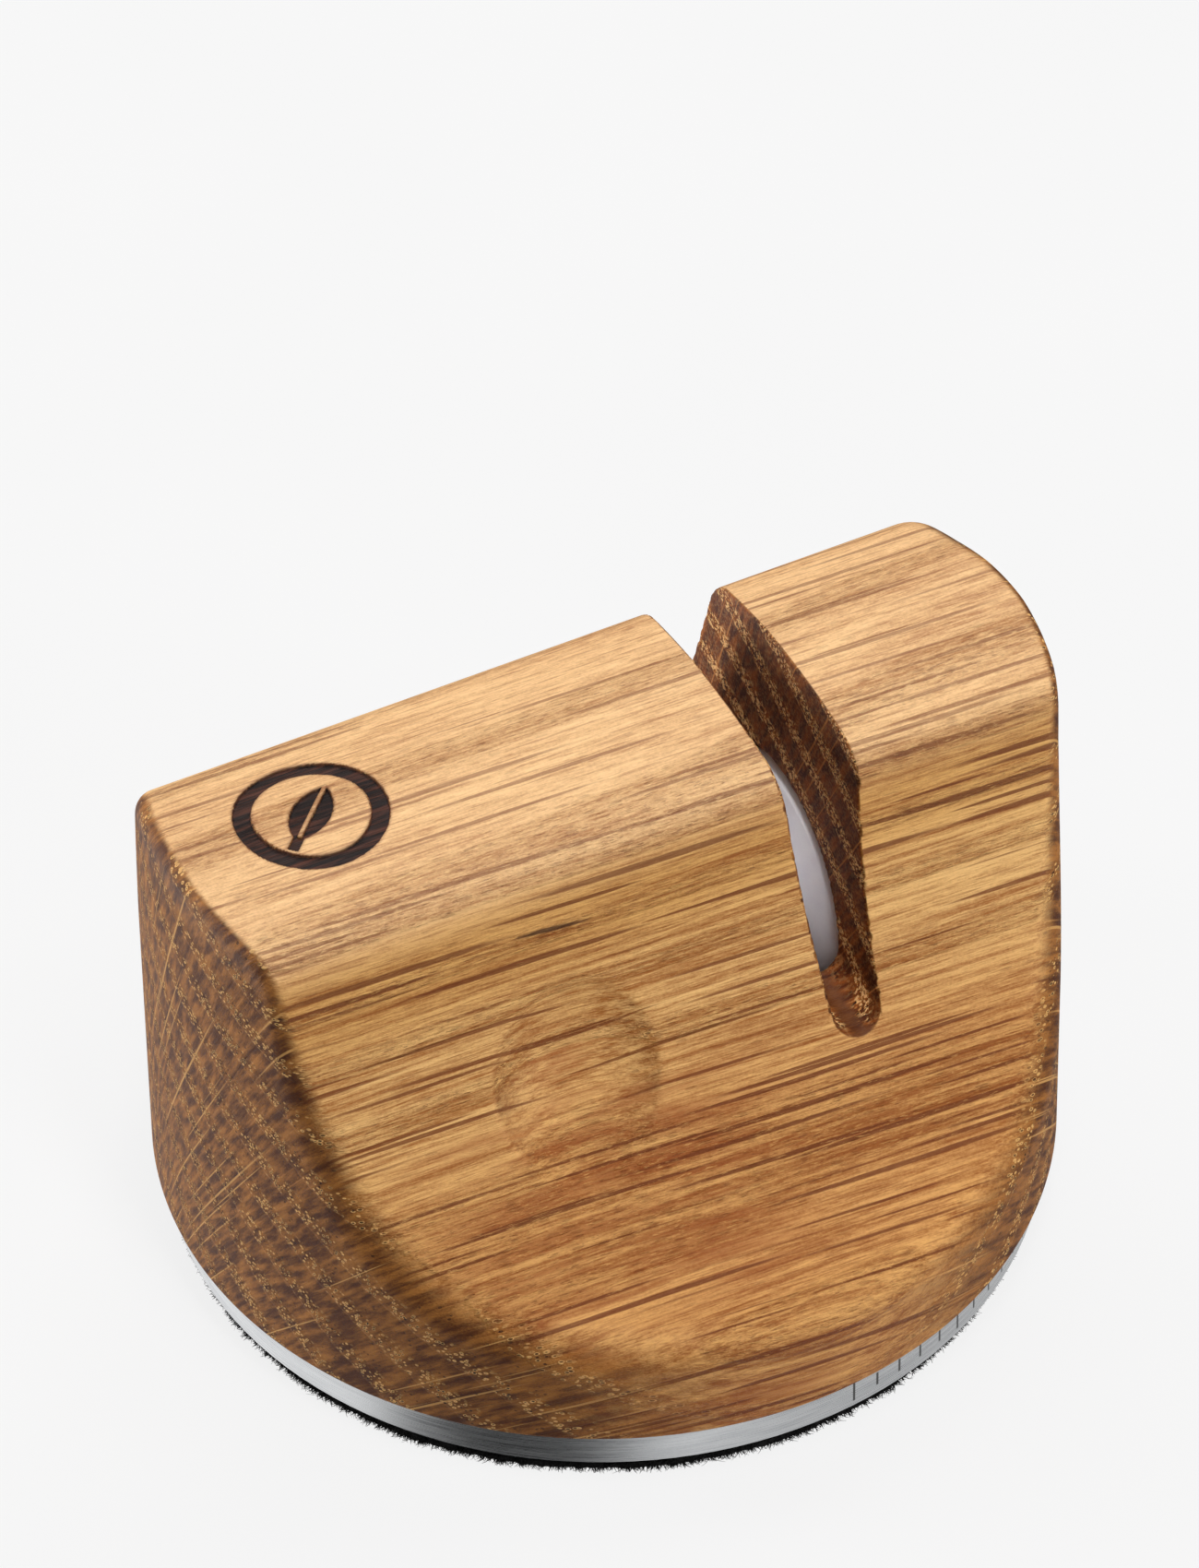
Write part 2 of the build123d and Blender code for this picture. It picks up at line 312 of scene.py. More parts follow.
def surface_net(field, xs, ys, zs):
    """Vertices and quads of the field's zero surface on a grid, one vertex in each mixed cell."""
    gx, gy, gz = np.meshgrid(xs, ys, zs, indexing="ij")
    value = field(gx, gy, gz).astype(np.float32)
    inside = value < 0
    nx, ny, nz = value.shape
    count = np.zeros((nx - 1, ny - 1, nz - 1), np.int8)
    for i in (0, 1):
        for j in (0, 1):
            for k in (0, 1):
                count += inside[i:nx - 1 + i, j:ny - 1 + j, k:nz - 1 + k]
    mixed = (count > 0) & (count < 8)
    number = np.full(mixed.shape, -1, np.int32)
    number[mixed] = np.arange(mixed.sum())
    ci, cj, ck = np.nonzero(mixed)

    total = np.zeros((len(ci), 3))
    hits = np.zeros(len(ci))
    lines = (xs, ys, zs)
    for axis in range(3):
        for a in (0, 1):
            for b in (0, 1):
                step = [0, 0, 0]
                step[(axis + 1) % 3] = a
                step[(axis + 2) % 3] = b
                start = (ci + step[0], cj + step[1], ck + step[2])
                end = list(start)
                end[axis] = end[axis] + 1
                v0 = value[start]
                v1 = value[tuple(end)]
                crossed = (v0 < 0) != (v1 < 0)
                share = np.where(crossed, v0 / np.where(crossed, v0 - v1, 1), 0)
                for direction in range(3):
                    place = lines[direction][start[direction]]
                    if direction == axis:
                        place = place + share * (lines[axis][end[axis]] - place)
                    total[:, direction] += np.where(crossed, place, 0)
                hits += crossed
    points = total / hits[:, None]

    quads = []
    for axis in range(3):
        low = [slice(None)] * 3
        high = [slice(None)] * 3
        low[axis] = slice(0, -1)
        high[axis] = slice(1, None)
        change = inside[tuple(low)] != inside[tuple(high)]
        edge = list(np.nonzero(change))
        leaves = inside[tuple(low)][change]
        b, c = (axis + 1) % 3, (axis + 2) % 3
        corners = []
        for db, dc in ((-1, -1), (0, -1), (0, 0), (-1, 0)):
            cell = list(edge)
            cell[b] = edge[b] + db
            cell[c] = edge[c] + dc
            corners.append(number[tuple(cell)])
        quad = np.stack(corners, 1)
        quad[~leaves] = quad[~leaves][:, ::-1]
        quads.append(quad)
    return points, np.concatenate(quads)


def slope(field, points, reach):
    """Gradient of the field at each point."""
    out = np.empty_like(points)
    for axis in range(3):
        step = np.zeros(3)
        step[axis] = reach
        ahead = field(*(points + step).T)
        behind = field(*(points - step).T)
        out[:, axis] = (ahead - behind) / (2 * reach)
    return out


def lengths(vectors):
    """Length of each vector, kept above zero so that it can divide."""
    return np.maximum(np.linalg.norm(vectors, axis=1), 1e-9)


def settle(field, points, rounds, most):
    """Moves the points onto the field's zero surface, by at most a short way each time."""
    reach = 0.02
    flattest = 0.2
    for _ in range(rounds):
        gradient = slope(field, points, reach)
        square = np.maximum((gradient ** 2).sum(1), flattest)
        move = -(field(*points.T) / square)[:, None] * gradient
        points = points + move * np.minimum(1, most / lengths(move))[:, None]
    return points


def mesh_object(name, points, faces):
    """Smooth-shaded object from points in millimetres and a list of faces."""
    mesh = bpy.data.meshes.new(name)
    mesh.from_pydata((np.asarray(points) * MM).tolist(), [], faces)
    mesh.validate()
    mesh.polygons.foreach_set("use_smooth", [True] * len(mesh.polygons))
    mesh.update()
    thing = bpy.data.objects.new(name, mesh)
    bpy.context.scene.collection.objects.link(thing)
    return thing


def oak_body():
    """The oak body as one mesh, finest at the mark, the slot, the foot and the crown."""
    margin = 0.9
    across_step = 0.5
    up_step = 0.42
    mark_step = 0.2
    slot_step = 0.3
    flat_step = 0.15
    mark_reach = MARK_RING_RADIUS + MARK_RING_WIDTH
    slot_reach = SLOT_TOP_WIDTH / 2 + 0.95
    side = BODY_RADIUS + margin
    xs = spaced(-side, side, across_step, [
        (MARK_X - mark_reach, MARK_X + mark_reach, mark_step),
        (SLOT_X - slot_reach, SLOT_X + slot_reach, slot_step),
    ])
    ys = spaced(-side, side, across_step, [
        (MARK_Y - mark_reach, MARK_Y + mark_reach, mark_step),
    ])
    zs = spaced(SEAM_Z - margin, TOP_Z + margin, up_step, [
        (SEAM_Z - flat_step, SEAM_Z + 5 * flat_step, flat_step),
        (TOP_Z - 8 * flat_step, TOP_Z + flat_step, flat_step),
    ])
    points, quads = surface_net(wood_distance, xs, ys, zs)
    points = settle(wood_distance, points, rounds=3, most=0.12)
    body = mesh_object("oak_body", points, quads.tolist())
    normals = slope(wood_distance, points, reach=0.05)
    normals /= lengths(normals)[:, None]
    body.data.normals_split_custom_set_from_vertices(normals.tolist())
    return body


# ---------------------------------------------------------------- felt pad

PAD_RADIUS = (pad_high[0] - pad_low[0]) / 2
PAD_TOP = pad_high[2]
PAD_STEPS = 900
PAD_INSET = 0.60
PAD_SHIFT = 0.95
PAD_SHIFT_ANGLE = math.radians(-124)
PAD_INNER_RINGS = (0.30, 0.60, 0.90)
# the cut edge from the table up: (inset, share of the pad's thickness)
PAD_EDGE_SECTION = ((0.45, 0.0), (0.20, 0.05), (0.05, 0.25), (0.0, 0.5), (0.06, 0.75),
                    (0.22, 0.95), (0.5, 1.0))
FIBRE_COUNT = 9500
FIBRE_SEED = 11
FIBRES_PER_TUFT = 14
TUFT_SPREAD = 0.006
LOOSE_SHARE = 0.45
# a fibre's length inside the felt, how far it leans, and how much it thins towards its end
FIBRE_ROOT = 0.3
FIBRE_LEAN = 0.6
FIBRE_TAPER = 0.75


def waves(angle, rows):
    """Sum of sine waves round the pad, each given as (count, size, phase)."""
    return sum(size * np.sin(count * angle + phase) for count, size, phase in rows)


def pad_edge(angle):
    """How far the pad's cut edge strays from its radius."""
    shift = PAD_SHIFT * np.cos(angle - PAD_SHIFT_ANGLE)
    return shift + waves(angle, ((7, 0.05, 0.4), (23, 0.05, 1.9), (61, 0.04, 3.0),
                                 (149, 0.04, 0.7), (277, 0.03, 5.1)))


def pad_ring(angle, radius, height):
    """Points round the pad at a radius and a height."""
    return np.stack([radius * np.cos(angle), radius * np.sin(angle), 0 * angle + height], 1)


def felt_pad():
    """Pad with an uneven cut edge that bulges a little between the plate and the table."""
    angle = np.linspace(0, 2 * math.pi, PAD_STEPS, endpoint=False)
    rows = [pad_ring(angle, share * PAD_RADIUS, 0.0) for share in PAD_INNER_RINGS]
    for inset, share in PAD_EDGE_SECTION:
        ripple = waves(angle + 7 * share, ((97, 0.03, 2.0), (211, 0.03, 0.0)))
        radius = PAD_RADIUS - PAD_INSET - inset + pad_edge(angle) + ripple
        rows.append(pad_ring(angle, radius, share * PAD_TOP))
    rows += [pad_ring(angle, share * PAD_RADIUS, PAD_TOP) for share in PAD_INNER_RINGS[::-1]]
    here = np.arange(PAD_STEPS)
    after = (here + 1) % PAD_STEPS
    faces = []
    for row in range(len(rows) - 1):
        low, high = row * PAD_STEPS, (row + 1) * PAD_STEPS
        faces += np.stack([low + here, low + after, high + after, high + here], 1).tolist()
    last = (len(rows) - 1) * PAD_STEPS
    faces += [here[::-1].tolist(), (last + here).tolist()]
    return mesh_object("felt_pad", np.concatenate(rows), faces)


def felt_fibres():
    """Loose fibres that stand out in tufts from the pad's cut edge, each a tapered prism."""
    draw = np.random.default_rng(FIBRE_SEED)
    tufts = draw.uniform(0, 2 * math.pi, FIBRE_COUNT // FIBRES_PER_TUFT)
    angle = draw.choice(tufts, FIBRE_COUNT) + draw.normal(0, TUFT_SPREAD, FIBRE_COUNT)
    loose = draw.random(FIBRE_COUNT) < LOOSE_SHARE
    angle = np.where(loose, draw.uniform(0, 2 * math.pi, FIBRE_COUNT), angle)
    length = draw.gamma(2.2, 0.075, FIBRE_COUNT).clip(0.04, 0.48)[:, None]
    thick = draw.uniform(0.035, 0.075, FIBRE_COUNT)[:, None]
    start_z = draw.uniform(0.12, 0.85, FIBRE_COUNT)[:, None] * PAD_TOP
    lean, drop, curl, sag = (draw.normal(middle, spread, FIBRE_COUNT)[:, None] for middle, spread
                             in ((0, 0.75), (-0.25, 0.4), (0, 0.9), (-0.3, 0.6)))
    out = pad_ring(angle, 1.0, 0.0)
    sideways = pad_ring(angle + math.pi / 2, 1.0, 0.0)
    up = np.array([0.0, 0.0, 1.0])
    start = out * (PAD_RADIUS - PAD_INSET - 0.2 + pad_edge(angle))[:, None] + up * start_z
    sections = (0.0, 0.35, 0.7, 1.0)
    corners = 3
    rows = []
    for share in sections:
        reach = (FIBRE_ROOT + length) * share
        middle = start + reach * out
        middle = middle + reach * FIBRE_LEAN * (lean + curl * share) * sideways
        middle = middle + reach * FIBRE_LEAN * (drop + sag * share) * up
        middle[:, 2] = middle[:, 2].clip(0.06, PAD_TOP - 0.03)
        width = thick * (1 - FIBRE_TAPER * share)
        for corner in range(corners):
            turn = 2 * math.pi * corner / corners
            rows.append(middle + width * (math.cos(turn) * sideways + math.sin(turn) * up))
    points = np.stack(rows, 1).reshape(-1, 3)
    sides = [[ring * corners + corner, ring * corners + (corner + 1) % corners,
              (ring + 1) * corners + (corner + 1) % corners, (ring + 1) * corners + corner]
             for ring in range(len(sections) - 1) for corner in range(corners)]
    last = (len(sections) - 1) * corners
    caps = [[2, 1, 0], [last, last + 1, last + 2]]
    base = np.arange(FIBRE_COUNT)[:, None, None] * len(sections) * corners
    faces = (base + np.array(sides)).reshape(-1, 4).tolist()
    faces += (base + np.array(caps)).reshape(-1, 3).tolist()
    return mesh_object("felt_fibres", points, faces)


# ---------------------------------------------------------------- shader helper


class Nodes:
    """A material's node tree, with one short call for each kind of node used here."""

    def __init__(self, name):
        self.material = bpy.data.materials.new(name)
        self.material.use_nodes = True
        self.tree = self.material.node_tree
        self.tree.nodes.clear()
        self.shader = self.make("ShaderNodeBsdfPrincipled")
        output = self.make("ShaderNodeOutputMaterial")
        self.tree.links.new(self.shader.outputs[0], output.inputs[0])

    def make(self, kind, **settings):
        node = self.tree.nodes.new(kind)
        for key, value in settings.items():
            setattr(node, key, value)
        return node

    def put(self, socket, value):
        if isinstance(value, bpy.types.NodeSocket):
            self.tree.links.new(value, socket)
        elif hasattr(value, "__len__") and len(value) == 3 and socket.type == "RGBA":
            socket.default_value = (*value, 1)
        else:
            socket.default_value = value

    def surface(self, **values):
        """Sets the shader's own sockets, written with underscores for spaces."""
        for key, value in values.items():
            self.put(self.shader.inputs[key.replace("_", " ")], value)

    def math(self, operation, a, b=0.0, c=0.0):
        node = self.make("ShaderNodeMath", operation=operation)
        for socket, value in zip(node.inputs, (a, b, c)):
            self.put(socket, value)
        return node.outputs[0]

    def dot(self, a, b):
        node = self.make("ShaderNodeVectorMath", operation="DOT_PRODUCT")
        self.put(node.inputs[0], a)
        self.put(node.inputs[1], b)
        return node.outputs["Value"]

    def scaled(self, vector, factor):
        node = self.make("ShaderNodeVectorMath", operation="SCALE")
        self.put(node.inputs[0], vector)
        self.put(node.inputs["Scale"], factor)
        return node.outputs[0]

    def length(self, a, b):
        """Distance from zero of two lengths at right angles."""
        square = self.math("MULTIPLY_ADD", b, b, self.math("MULTIPLY", a, a))
        return self.math("SQRT", square)

    def swing(self, value, size, base=0.0):
        """A noise value brought to swing round base by its distance from a half."""
        return self.math("MULTIPLY_ADD", self.math("SUBTRACT", value, 0.5), size, base)

    def vector(self, x, y, z):
        node = self.make("ShaderNodeCombineXYZ")
        for socket, value in zip(node.inputs, (x, y, z)):
            self.put(socket, value)
        return node.outputs[0]

    def parts(self, vector):
        node = self.make("ShaderNodeSeparateXYZ")
        self.put(node.inputs[0], vector)
        return node.outputs

    def noise(self, vector, scale=1.0, detail=2.0, roughness=0.5):
        node = self.make("ShaderNodeTexNoise")
        self.put(node.inputs["Vector"], vector)
        self.put(node.inputs["Scale"], scale)
        self.put(node.inputs["Detail"], detail)
        self.put(node.inputs["Roughness"], roughness)
        return node.outputs[0]

    def cells(self, vector, randomness=1.0):
        """Distance to the nearest cell centre, and that cell's random colour."""
        node = self.make("ShaderNodeTexVoronoi")
        self.put(node.inputs["Vector"], vector)
        self.put(node.inputs["Scale"], 1.0)
        self.put(node.inputs["Randomness"], randomness)
        return node.outputs["Distance"], node.outputs["Color"]

    def ramp(self, value, start, end, low=0.0, high=1.0):
        """Smooth step from low to high as value goes from start to end."""
        node = self.make("ShaderNodeMapRange", interpolation_type="SMOOTHSTEP")
        for socket, setting in zip(node.inputs, (value, start, end, low, high)):
            self.put(socket, setting)
        return node.outputs[0]

    def mix(self, share, a, b, kind="MIX"):
        node = self.make("ShaderNodeMix", data_type="RGBA", blend_type=kind)
        node.clamp_factor = True
        self.put(node.inputs[0], share)
        self.put(node.inputs[6], a)
        self.put(node.inputs[7], b)
        return node.outputs[2]

    def bump(self, height, distance, strength=1.0):
        """Bump from a height of 0 to 1 that stands for the distance in millimetres."""
        node = self.make("ShaderNodeBump")
        self.put(node.inputs["Strength"], strength)
        self.put(node.inputs["Distance"], distance * MM)
        self.put(node.inputs["Height"], height)
        return node.outputs[0]

    def place(self):
        """Object coordinates in millimetres."""
        return self.scaled(self.make("ShaderNodeTexCoord").outputs["Object"], 1 / MM)

    def facing(self):
        """Surface normal in the object's own axes."""
        return self.make("ShaderNodeTexCoord").outputs["Normal"]


def linear(red, green, blue):
    """Scene colour of a display colour given from 0 to 255."""
    return tuple((c / 255 / 12.92) if c <= 10 else ((c / 255 + 0.055) / 1.055) ** 2.4
                 for c in (red, green, blue))


# ---------------------------------------------------------------- oak material

# The tree's own axes: along the grain, and the pith that the growth rings run round
GRAIN = Vector((1.0, -0.022, -0.034)).normalized()
GRAIN_SIDE = Vector((0, 0, 1)).cross(GRAIN).normalized()
GRAIN_UP = GRAIN.cross(GRAIN_SIDE)
GRAIN_WAVE = 2.2
GRAIN_WAVE_LENGTH = 50.0
GRAIN_WAVE_WIDTH = 24.0
PITH_Y = 40.0
PITH_Z = -56.0
PITH_DISTANCE = 95.0
RING_WIDTH = 4.3
RING_START = 100.5

# A redder heart, a knot's swirl in the recess and a dark mineral streak above it
HEART_RADIAL = 103.0
HEART_X = -12.0
KNOT_X = -12.5
KNOT_UP = 27.0
STREAK_X = -12.0
STREAK_UP = 39.9

LONG_DARK = linear(160, 98, 44)
LONG_PALE = linear(242, 197, 140)
HEART_RED = linear(158, 84, 36)
SMALL_RAY_BROWN = linear(140, 74, 24)
RAY_BROWN = linear(116, 56, 14)
GLINT_PALE = linear(250, 208, 146)
PIT_BROWN = linear(112, 58, 20)
PORE_BROWN = linear(108, 56, 20)
MINERAL_BROWN = linear(64, 34, 22)
END_DARK = linear(79, 39, 12)
END_PALE = linear(173, 112, 50)
END_RAY = linear(208, 156, 90)
END_PORE = linear(40, 20, 8)
# pale pore rim on end grain, partly painted glint
LINING_GLINT_PALE = linear(236, 184, 112)
# pale torn-fibre specks on the slot's walls, partly painted glint
BEAD_GLINT_PALE = linear(255, 206, 138)
SCORCH_BROWN = linear(104, 54, 24)
CHAR_BLACK = linear(24, 11, 8)
CHAR_BROWN = linear(84, 46, 32)

# Tints that multiply the colour
FLANK_TINT = (0.97, 0.92, 0.73)
# painted shade on the upper flank just under the shoulder
BELT_SHADE_TINT = (0.86, 0.79, 0.66)
LOW_TINT = (0.86, 0.75, 0.64)
# the slot floor's tint: partly rough saw-cut colour, partly painted shade in the slot
SAWN_SHADE_TINT = (0.24, 0.145, 0.11)
SAWN_END_TINT = (0.84, 0.58, 0.42)


def mark_outline(n, x, y):
    """Signed distance in plan to the burned mark, as mark_distance gives it."""
    dx = n.math("SUBTRACT", x, MARK_X)
    dy = n.math("SUBTRACT", y, MARK_Y)
    ring = n.math("ABSOLUTE", n.math("SUBTRACT", n.length(dx, dy), MARK_RING_RADIUS))
    ring = n.math("SUBTRACT", ring, MARK_RING_WIDTH / 2)
    half = math.sqrt(0.5)
    along = n.math("MULTIPLY", n.math("ADD", dx, dy), half)
    across = n.math("ABSOLUTE", n.math("MULTIPLY", n.math("SUBTRACT", dy, dx), half))
    leaf = n.length(along, n.math("ADD", across, MARK_LEAF_OFFSET))
    leaf = n.math("SUBTRACT", leaf, MARK_LEAF_RADIUS)
    leaf = n.math("MAXIMUM", leaf, n.math("SUBTRACT", MARK_VEIN_WIDTH / 2, across))
    past = n.math("ABSOLUTE", n.math("ADD", along, MARK_STEM_PLACE))
    stem = n.math("MAXIMUM", n.math("SUBTRACT", across, MARK_VEIN_WIDTH),
                  n.math("SUBTRACT", past, MARK_STEM_HALF))
    return n.math("MINIMUM", ring, n.math("MINIMUM", leaf, stem))


def slot_cut(n, x, z):
    """1 on the saw-cut faces of the slot, its round floor included. It carries their rough colour,
    and the painted shade on the slot's floor.
    """
    side = n.math("SUBTRACT", x, SLOT_X)
    up = n.math("SUBTRACT", z, SLOT_FLOOR_CENTRE)
    away = n.length(side, n.math("MINIMUM", up, 0.0))
    reach = n.math("MULTIPLY_ADD", n.math("MAXIMUM", up, 0.0), math.tan(SLOT_DRAFT),
                   SLOT_FLOOR_RADIUS / math.cos(SLOT_DRAFT))
    return n.ramp(n.math("SUBTRACT", away, reach), 0.03, 0.16, 1, 0)


class Grain:
    """The wood's own coordinates: along the grain, round the rings and out from the pith."""

    def __init__(self, n, place):
        self.n = n
        self.along = n.dot(place, tuple(GRAIN))
        side = n.dot(place, tuple(GRAIN_SIDE))
        up = n.dot(place, tuple(GRAIN_UP))
        wave = n.noise(n.vector(n.math("MULTIPLY", self.along, 1 / GRAIN_WAVE_LENGTH),
                                n.math("MULTIPLY", side, 1 / GRAIN_WAVE_WIDTH),
                                n.math("MULTIPLY", up, 1 / GRAIN_WAVE_WIDTH)), detail=1)
        up = n.swing(wave, GRAIN_WAVE, up)
        dy = n.math("SUBTRACT", side, PITH_Y)
        dz = n.math("SUBTRACT", up, PITH_Z)
        self.radial = n.length(dy, dz)
        self.around = n.math("MULTIPLY", n.math("ARCTAN2", dy, dz), PITH_DISTANCE)

    def stretched(self, length, across, depth, seed=0.0):
        """Coordinates in units of a length along, a width round and a depth out from the pith."""
        n = self.n
        return n.vector(n.math("MULTIPLY_ADD", self.along, 1 / length, seed),
                        n.math("MULTIPLY", self.around, 1 / across),
                        n.math("MULTIPLY", self.radial, 1 / depth))


def wood_cells(n, grain, endness):
    """Rings, pores and rays of the oak, each from 0 to 1."""
    wood = SimpleNamespace()
    # rings: a band of open pores, then denser wood
    ragged = n.noise(grain.stretched(30, 1.1, 1.1, 3.1), detail=2)
    turn = n.math("MULTIPLY_ADD", grain.radial, 1 / RING_WIDTH, 1 - RING_START / RING_WIDTH)
    ring = n.math("FRACT", n.swing(ragged, 0.16, turn))
    wood.early = n.math("MULTIPLY", n.ramp(ring, 0.0, 0.05), n.ramp(ring, 0.24, 0.42, 1, 0))
    wood.late = n.ramp(ring, 0.30, 0.95)
    wood.end_early = n.math("MULTIPLY", n.ramp(ring, 0.0, 0.06), n.ramp(ring, 0.30, 0.50, 1, 0))

    # pores: short tubes along the grain, with a pale rim that is partly real and partly painted
    # glint
    distance, colour = n.cells(grain.stretched(2.2, 0.36, 0.36), 0.9)
    size_draw, _, lining_draw = n.parts(colour)
    hollow = n.math("DIVIDE", distance, n.ramp(size_draw, 0.0, 1.0, 0.14, 0.32))
    scattered = n.math("MULTIPLY", n.ramp(size_draw, 0.90, 0.92), 0.7)
    band = n.math("SUBTRACT", wood.end_early, wood.early)
    band = n.math("MULTIPLY_ADD", band, endness, wood.early)
    here = n.math("MAXIMUM", band, scattered)
    wood.pore = n.math("MULTIPLY", n.ramp(hollow, 0.75, 1.05, 1, 0), here)
    lining = n.math("MULTIPLY", n.ramp(distance, 0.34, 0.46, 1, 0), band)
    wood.lining = n.math("MULTIPLY", lining, n.ramp(lining_draw, 0.22, 0.30))

    # rays: thin sheets that run out from the pith
    distance, colour = n.cells(grain.stretched(36, 0.52, 60), 1.0)
    size = n.ramp(n.parts(colour)[1], 0.0, 1.0, 0.18, 0.46)
    wood.ray = n.ramp(n.math("DIVIDE", distance, size), 0.70, 1.0, 1, 0)
    distance, colour = n.cells(grain.stretched(30, 0.50, 60, 6.1), 1.0)
    size = n.ramp(n.parts(colour)[1], 0.0, 1.0, 0.12, 0.26)
    wood.thin_ray = n.ramp(n.math("DIVIDE", distance, size), 0.6, 1.1, 1, 0)
    distance, _ = n.cells(grain.stretched(9, 0.25, 24, 7.7), 1.0)
    wood.small_ray = n.ramp(distance, 0.22, 0.34, 1, 0)
    return wood


def wood_tones(n, grain, place):
    """Noises at several sizes, long ones along the grain."""
    return SimpleNamespace(
        broad=n.noise(grain.stretched(55, 9, 5, 1.7), detail=2),
        streak=n.noise(grain.stretched(30, 0.75, 0.6, 5.3), detail=4, roughness=0.68),
        fibre=n.noise(grain.stretched(1.8, 0.13, 0.13, 9.1), detail=2, roughness=0.6),
        flame=n.noise(grain.stretched(14, 0.75, 3.2, 2.9), detail=3, roughness=0.6),
        grit=n.noise(grain.stretched(1.3, 0.17, 0.17, 3.7), detail=3, roughness=0.65),
        torn=n.noise(grain.stretched(1.3, 0.30, 0.30, 8.3), detail=2, roughness=0.6),
        figure=n.noise(grain.stretched(24, 1.5, 1.5, 4.9), detail=3),
        ridges=n.noise(grain.stretched(7, 0.40, 0.40, 4.4), detail=3, roughness=0.65),
        speck=n.noise(place, 4.0, 2, 0.6))


def heartwood(n, grain, tones, x, y, z):
    """Share of the redder heart near the pith and of the knot's swirl in the front recess."""
    heart = n.math("MULTIPLY", n.ramp(grain.radial, HEART_RADIAL + 1.6, HEART_RADIAL - 0.4),
                   n.ramp(tones.figure, 0.40, 0.62))
    off = n.math("ABSOLUTE", n.math("SUBTRACT", x, HEART_X))
    heart = n.math("MULTIPLY", heart, n.ramp(off, 22, 8))
    knot = n.length(n.math("MULTIPLY", n.math("SUBTRACT", x, KNOT_X), 0.40),
                    n.math("SUBTRACT", z, SEAM_Z + KNOT_UP))
    knot = n.ramp(n.swing(tones.streak, 5.0, knot), 1.9, 0.0)
    knot = n.math("MULTIPLY", knot, n.ramp(y, 5.0, -5.0))
    return n.math("MAXIMUM", heart, n.math("MULTIPLY", knot, 0.9))


def mineral_streak(n, tones, x, y, z):
    """Share of the one short dark streak on the front."""
    dx = n.math("SUBTRACT", x, STREAK_X)
    up = n.math("MULTIPLY_ADD", dx, 0.10, n.math("SUBTRACT", z, SEAM_Z + STREAK_UP))
    away = n.length(n.math("MULTIPLY", dx, 0.075), up)
    streak = n.ramp(n.swing(tones.fibre, 0.30, away), 0.32, 0.14)
    return n.math("MULTIPLY", streak, n.ramp(y, 0.0, -5.0))


def long_grain_colour(n, grain, wood, tones, at):
    """Colour where the surface runs with the grain."""
    swing = n.math("MULTIPLY_ADD", at.deep, 1.0, 0.9)
    tone = n.math("MULTIPLY", n.math("SUBTRACT", tones.streak, 0.5), swing)
    tone = n.math("MULTIPLY_ADD", at.deep, -0.04, n.math("ADD", tone, 0.62))
    tone = n.swing(tones.broad, 0.6, tone)
    tone = n.swing(tones.fibre, 0.9, tone)
    tone = n.swing(tones.speck, 0.40, tone)
    tone = n.math("MULTIPLY_ADD", wood.early, -0.10, tone)
    heart = heartwood(n, grain, tones, at.x, at.y, at.z)
    mineral = mineral_streak(n, tones, at.x, at.y, at.z)
    ray = n.math("MULTIPLY", wood.ray, n.math("MULTIPLY_ADD", at.deep, 0.26, 0.58))
    glint = n.math("MULTIPLY", n.ramp(tones.grit, 0.56, 0.68), wood.open_grain)
    pit = n.math("MULTIPLY", n.ramp(tones.grit, 0.42, 0.32), wood.open_grain)
    colour = n.mix(n.ramp(tone, 0.0, 1.0), LONG_DARK, LONG_PALE)
    for share, most, paint in ((heart, 0.62, HEART_RED), (wood.small_ray, 0.34, SMALL_RAY_BROWN),
                               (ray, 1.0, RAY_BROWN), (glint, 0.45, GLINT_PALE),
                               (pit, 0.55, PIT_BROWN), (wood.pore, 0.30, PORE_BROWN),
                               (mineral, 0.85, MINERAL_BROWN)):
        colour = n.mix(n.math("MULTIPLY", share, most), colour, paint)
    # painted shade: a darker band on the upper flank under the shoulder, where it faces less
    # upward
    shaded_belt = n.math("MULTIPLY", n.ramp(at.z, TOP_Z - 1.5, TOP_Z - 3.5),
                  n.ramp(at.z, TOP_Z - 15.0, TOP_Z - 8.0))
    low = n.ramp(at.z, SEAM_Z + 29.0, SEAM_Z + 16.0)
    # the slot tint on its floor is partly rough saw-cut colour and partly painted shade
    for share, tint in ((at.deep, FLANK_TINT), (shaded_belt, BELT_SHADE_TINT), (low, LOW_TINT),
                        (at.sawn, SAWN_SHADE_TINT)):
        colour = n.mix(share, colour, tint, "MULTIPLY")
    return colour


def end_grain_colour(n, wood, tones, at):
    """Colour where the surface cuts across the grain, with torn fibres on the saw-cut faces as
    pale specks that are partly painted glints.
    """
    tone = n.swing(tones.flame, 3.2, 0.46)
    tone = n.swing(tones.fibre, 0.8, tone)
    tone = n.swing(tones.broad, 0.6, tone)
    tone = n.math("MULTIPLY_ADD", wood.late, -0.18, tone)
    colour = n.mix(n.ramp(tone, -0.2, 1.2), END_DARK, END_PALE)
    colour = n.mix(n.math("MULTIPLY", wood.thin_ray, 0.85), colour, END_RAY)
    # pale pore rims on the end grain, partly painted glint
    colour = n.mix(n.math("MULTIPLY", wood.lining, 0.90), colour, LINING_GLINT_PALE)
    colour = n.mix(at.sawn, colour, SAWN_END_TINT, "MULTIPLY")
    # pale specks of torn fibre on the slot's walls, partly painted glints
    torn_fibre_glints = n.math("MULTIPLY_ADD", wood.end_early, 0.85, 0.12)
    torn_fibre_glints = n.math("MULTIPLY", n.ramp(tones.torn, 0.50, 0.57), torn_fibre_glints)
    torn_fibre_glints = n.math("MULTIPLY", torn_fibre_glints, n.math("MULTIPLY", at.sawn, at.endness))
    colour = n.mix(n.math("MULTIPLY", torn_fibre_glints, 0.92), colour, BEAD_GLINT_PALE)
    return n.mix(n.math("MULTIPLY", wood.pore, 0.94), colour, END_PORE)


